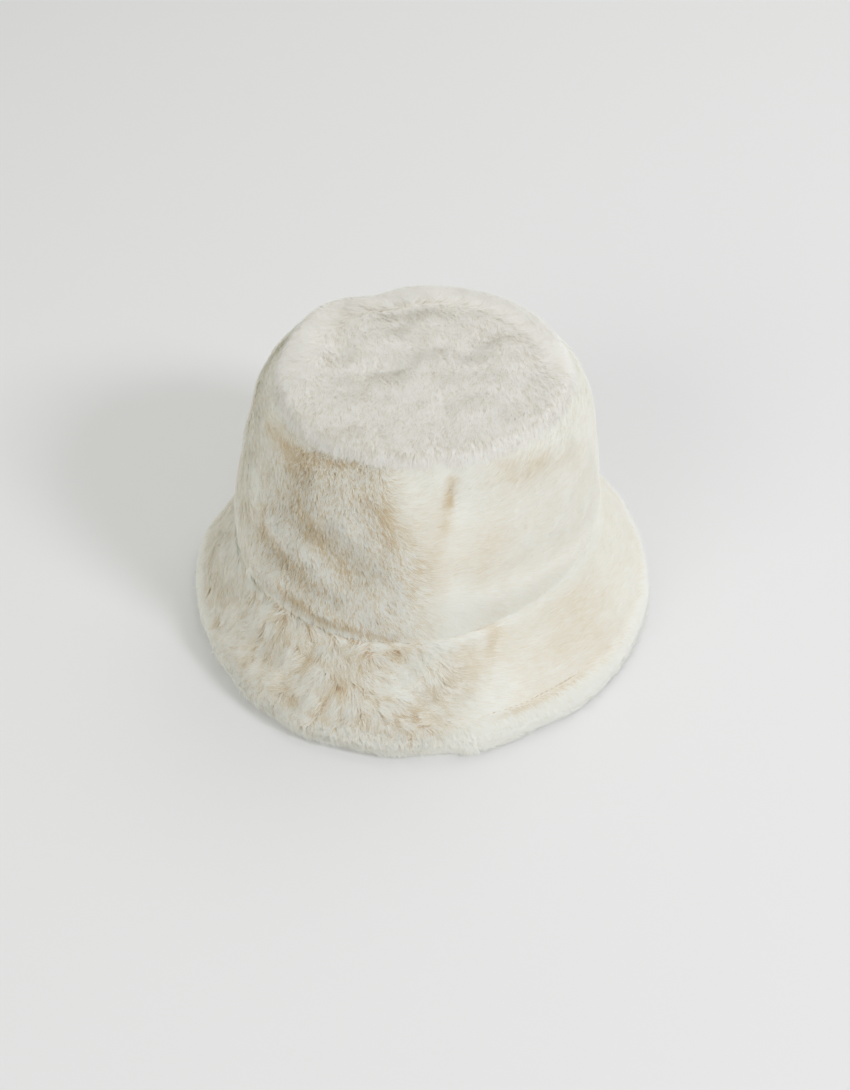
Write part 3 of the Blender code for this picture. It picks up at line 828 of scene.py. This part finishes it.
STITCH_INSET = 0.0110  # from the rim to the row of topstitching
PARTING_WIDTH = 0.0011  # of the pile that is parted over the row


def brim_bears_pile(middles, facing):
    out, along = turned_out(middles, facing)
    sewn = (out < -0.2) & (facing[:, 2] > 0.1)
    return ~sewn & (along < 0.8) & (middles[:, 2] > REST_HEIGHT)


def tousle(spots):
    """How tousled the pile of the brim is: 1 on the left of the front, 0 on the right."""
    turn = azimuth(spots)
    return step_up(-turn, -14, 2) * (1 - 0.75 * step_up(-turn, 48, 80))


def brim_depth(points, normals):
    out = np.sum(normals * outward(points), axis=1)
    above = step_up(0.64 * out + 0.77 * normals[:, 2], -0.5, 0.3)
    return UNDER_DEPTH + (PILE_DEPTH - UNDER_DEPTH + TOUSLED_DEPTH * tousle(points)) * above


from_brim_rim = rim_finder("brim_left", "brim_right")


def brim_fuller(points):
    """How much fuller the fur is than the solid: a little less at the rim and on the far right."""
    rim = 1 - step_up(from_brim_rim(points), 0.000, 0.014)
    turn = azimuth(points)
    right = step_up(turn, 35, 60) * (1 - step_up(turn, 90, 120))
    return -THINNER_RIM * rim - THINNER_RIGHT * right


def stitched(spots):
    """How near a spot is to the row of topstitching, where the pile is parted over it."""
    turn = azimuth(spots)
    parted = step_up(turn, 12, 18) * (1 - step_up(turn, 38, 44))
    parted += 0.8 * step_up(turn, -32, -26) * (1 - step_up(turn, -6, 0))
    away = (from_brim_rim(spots) - STITCH_INSET) / PARTING_WIDTH
    return np.exp(-(away**2)) * (0.2 + 0.8 * parted)


def brim_closed(points):
    """How far the pile closes the seams of the brim: less where it is tousled, on the left."""
    beside_crown = step_up(from_brim_rim(points), 0.020, 0.030)
    return 1 - (0.3 + 0.25 * tousle(points)) * beside_crown


def comb_brim(spots, facing, sunk, clear, rise):
    """The pile of the brim runs round it, or out from the crown in swirls where it is tousled. It
    turns down over the rim in a short even band, and runs in and round beneath."""
    away = outward(spots)
    around = np.cross(UP, away)
    inset = from_brim_rim(spots)
    band = 1 - step_up(inset, 0.009, 0.013)
    tousled = tousle(spots)
    beneath = step_up(-facing[:, 2], 0.0, 0.4)
    smooth_nap = around + away * (0.20 * drift(spots, 0.04, 11) + 0.15)[:, None]
    swirl = 1.3 * drift(spots, 0.022, 12) + 0.7 * drift(spots, 0.010, 13)
    swirl = (swirl - 0.4) * clear - 1.1 * (1 - clear)
    tousled_nap = away * np.cos(swirl)[:, None] - around * np.sin(swirl)[:, None]
    nap = smooth_nap * (1 - tousled)[:, None] + tousled_nap * tousled[:, None]
    rim_nap = away - UP * 0.6 + around * (1.3 - clear)[:, None]
    nap = nap * (1 - band)[:, None] + rim_nap * band[:, None]
    nap = nap * (1 - beneath)[:, None] + (away * -0.6 + around) * beneath[:, None]
    wild = tousled * (1 - 0.45 * band) * (1 - beneath)
    tone = 0.77 - 0.08 * wild + 0.30 * band + 0.07 * drift(spots, 0.02, 9)
    # Paler on the ridges of the cloth and darker in its hollows: painted highlight and painted shade.
    tone = tone + 0.16 * wild * drift(spots, 0.0065, 14) + 0.12 * np.clip(rise, -1.5, 1.5)
    tuft = 0.0007 * drift(spots, 0.0065, 14)
    sewn = stitched(spots) * (1 - beneath)
    end = band * (1 - clear)  # of the band, at the seams between the panels
    length = BRIM_LENGTH - 0.0020 * wild - 0.0045 * band + 0.0050 * end
    length = length * (1 - 0.4 * sewn)
    seen = spots + unit(nap) * (length * 0.8)[:, None]
    return Combing(
        nap=nap,
        bunch=0.8 * wild,
        length=length,
        height=(sunk + 0.0004 + (0.0010 + tuft) * wild) * (1 - 0.6 * sewn) + 0.0006 * end,
        wisp_turn=radians(4) + radians(5) * wild + radians(6) * band + radians(25) * end,
        strand_turn=radians(5) + radians(7) * wild + radians(3) * band,
        gather=0.2 + 0.30 * wild + 0.10 * band,
        tone=tone + patched(seen, BRIM_TONE_AND_PAINTED_LIGHT) * (1 - beneath) - 0.4 * sewn,
        contrast=0.18 + 0.28 * wild + (0.12 + 0.15 * tousled) * band,
    )


for side, seed in (("brim_left", 14), ("brim_right", 15)):
    dress(
        side, fur_pile, brim_bears_pile, brim_depth, brim_fuller, brim_closed, comb_brim,
        count=BRIM_STRANDS, seed=seed,
    )

# The topstitching runs right round the brim, a centimetre in from the rim, through all its layers.
# It is a pale tan cotton thread, sunk in the pile and seen only where the pile parts over it. Each
# stitch is a bow of thread, thick in the middle, whose ends go down into the fur.
STITCH_PITCH = 0.0034
STITCH_LENGTH = 0.0028
STITCH_RISE = 0.0010  # by which the thread lies higher where the pile is parted
THREAD_RADIUS = 0.0003
THREAD_SIDES = 5
THREAD_RINGS = ((0.0014, 0.6), (0.0007, 1.0), (0.0014, 0.6))  # how deep they lie, and how thick
CAST_RADIUS = 0.1  # of the circle from which the row is found
CAST_HEIGHT = 0.2
brim_points, brim_corners = [], []
for side in ("brim_left", "brim_right"):
    points, _, corners = mesh_arrays(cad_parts[side])
    brim_corners += (corners + len(brim_points)).tolist()
    brim_points += points.tolist()
brim_tree = BVHTree.FromPolygons(brim_points, brim_corners)
turns = np.radians(np.arange(0, 360, 0.25))
circle = np.stack([np.sin(turns), -np.cos(turns), 0 * turns], axis=1) * CAST_RADIUS
reach = CAST_RADIUS + from_brim_rim(HAT_CENTRE + circle) - STITCH_INSET
above_row = HAT_CENTRE + circle * (reach / CAST_RADIUS)[:, None] + UP * CAST_HEIGHT
row = []
for start in above_row.tolist():
    place, facing, _, _ = brim_tree.ray_cast(start, (0, 0, -1))
    row.append((*place, *facing))
row = np.array(row)
row[:, :3] += row[:, 3:] * brim_fuller(row[:, :3])[:, None]
row = np.concatenate([row, row[:1]])
run = np.concatenate([[0], np.cumsum(np.linalg.norm(np.diff(row[:, :3], axis=0), axis=1))])
stitches = int(run[-1] / STITCH_PITCH)
middles = (np.arange(stitches) + 0.5) * run[-1] / stitches
ends = np.stack([middles - STITCH_LENGTH / 2, middles, middles + STITCH_LENGTH / 2], axis=1)
spine = np.stack([np.interp(ends, run, row[:, axis]) for axis in range(6)], axis=2)
facing = unit(spine[:, 1, 3:])
ahead = unit(spine[:, 2, :3] - spine[:, 0, :3])
across = np.cross(facing, ahead)
risen = STITCH_RISE * stitched(spine[:, 1, :3])
thread_points, thread_faces = [], []
for stitch in range(stitches):
    first = len(thread_points)
    for ring, (sunk, girth) in enumerate(THREAD_RINGS):
        middle = spine[stitch, ring, :3] - facing[stitch] * (sunk - risen[stitch])
        for corner in np.radians(np.arange(THREAD_SIDES) * 360 / THREAD_SIDES):
            spoke = across[stitch] * np.cos(corner) - facing[stitch] * np.sin(corner)
            thread_points.append(middle + spoke * THREAD_RADIUS * girth)
    for ring in (first, first + THREAD_SIDES):
        for side in range(THREAD_SIDES):
            beside = (side + 1) % THREAD_SIDES
            upper = ring + THREAD_SIDES
            thread_faces.append((ring + side, ring + beside, upper + beside, upper + side))
    last = first + 2 * THREAD_SIDES
    thread_faces.append([first + side for side in reversed(range(THREAD_SIDES))])
    thread_faces.append([last + side for side in range(THREAD_SIDES)])
thread_mesh = bpy.data.meshes.new("brim_topstitching")
thread_mesh.from_pydata([point.tolist() for point in thread_points], [], thread_faces)
thread_mesh.polygons.foreach_set("use_smooth", np.ones(len(thread_faces), bool))
topstitching = bpy.data.objects.new("brim_topstitching", thread_mesh)
bpy.context.scene.collection.objects.link(topstitching)
cotton = bpy.data.materials.new("cotton_thread")
cotton.use_nodes = True
nodes, links = cotton.node_tree.nodes, cotton.node_tree.links
place = nodes.new("ShaderNodeTexCoord")
ply = nodes.new("ShaderNodeTexNoise")
ply.inputs["Scale"].default_value = 2500.0
links.new(place.outputs["Object"], ply.inputs["Vector"])
shade = mixed(cotton.node_tree, ply.outputs["Fac"], (0.62, 0.50, 0.34), (0.80, 0.70, 0.54))
links.new(shade, nodes["Principled BSDF"].inputs["Base Color"])
nodes["Principled BSDF"].inputs["Roughness"].default_value = 0.7
topstitching.data.materials.append(cotton)
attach(topstitching, "root")
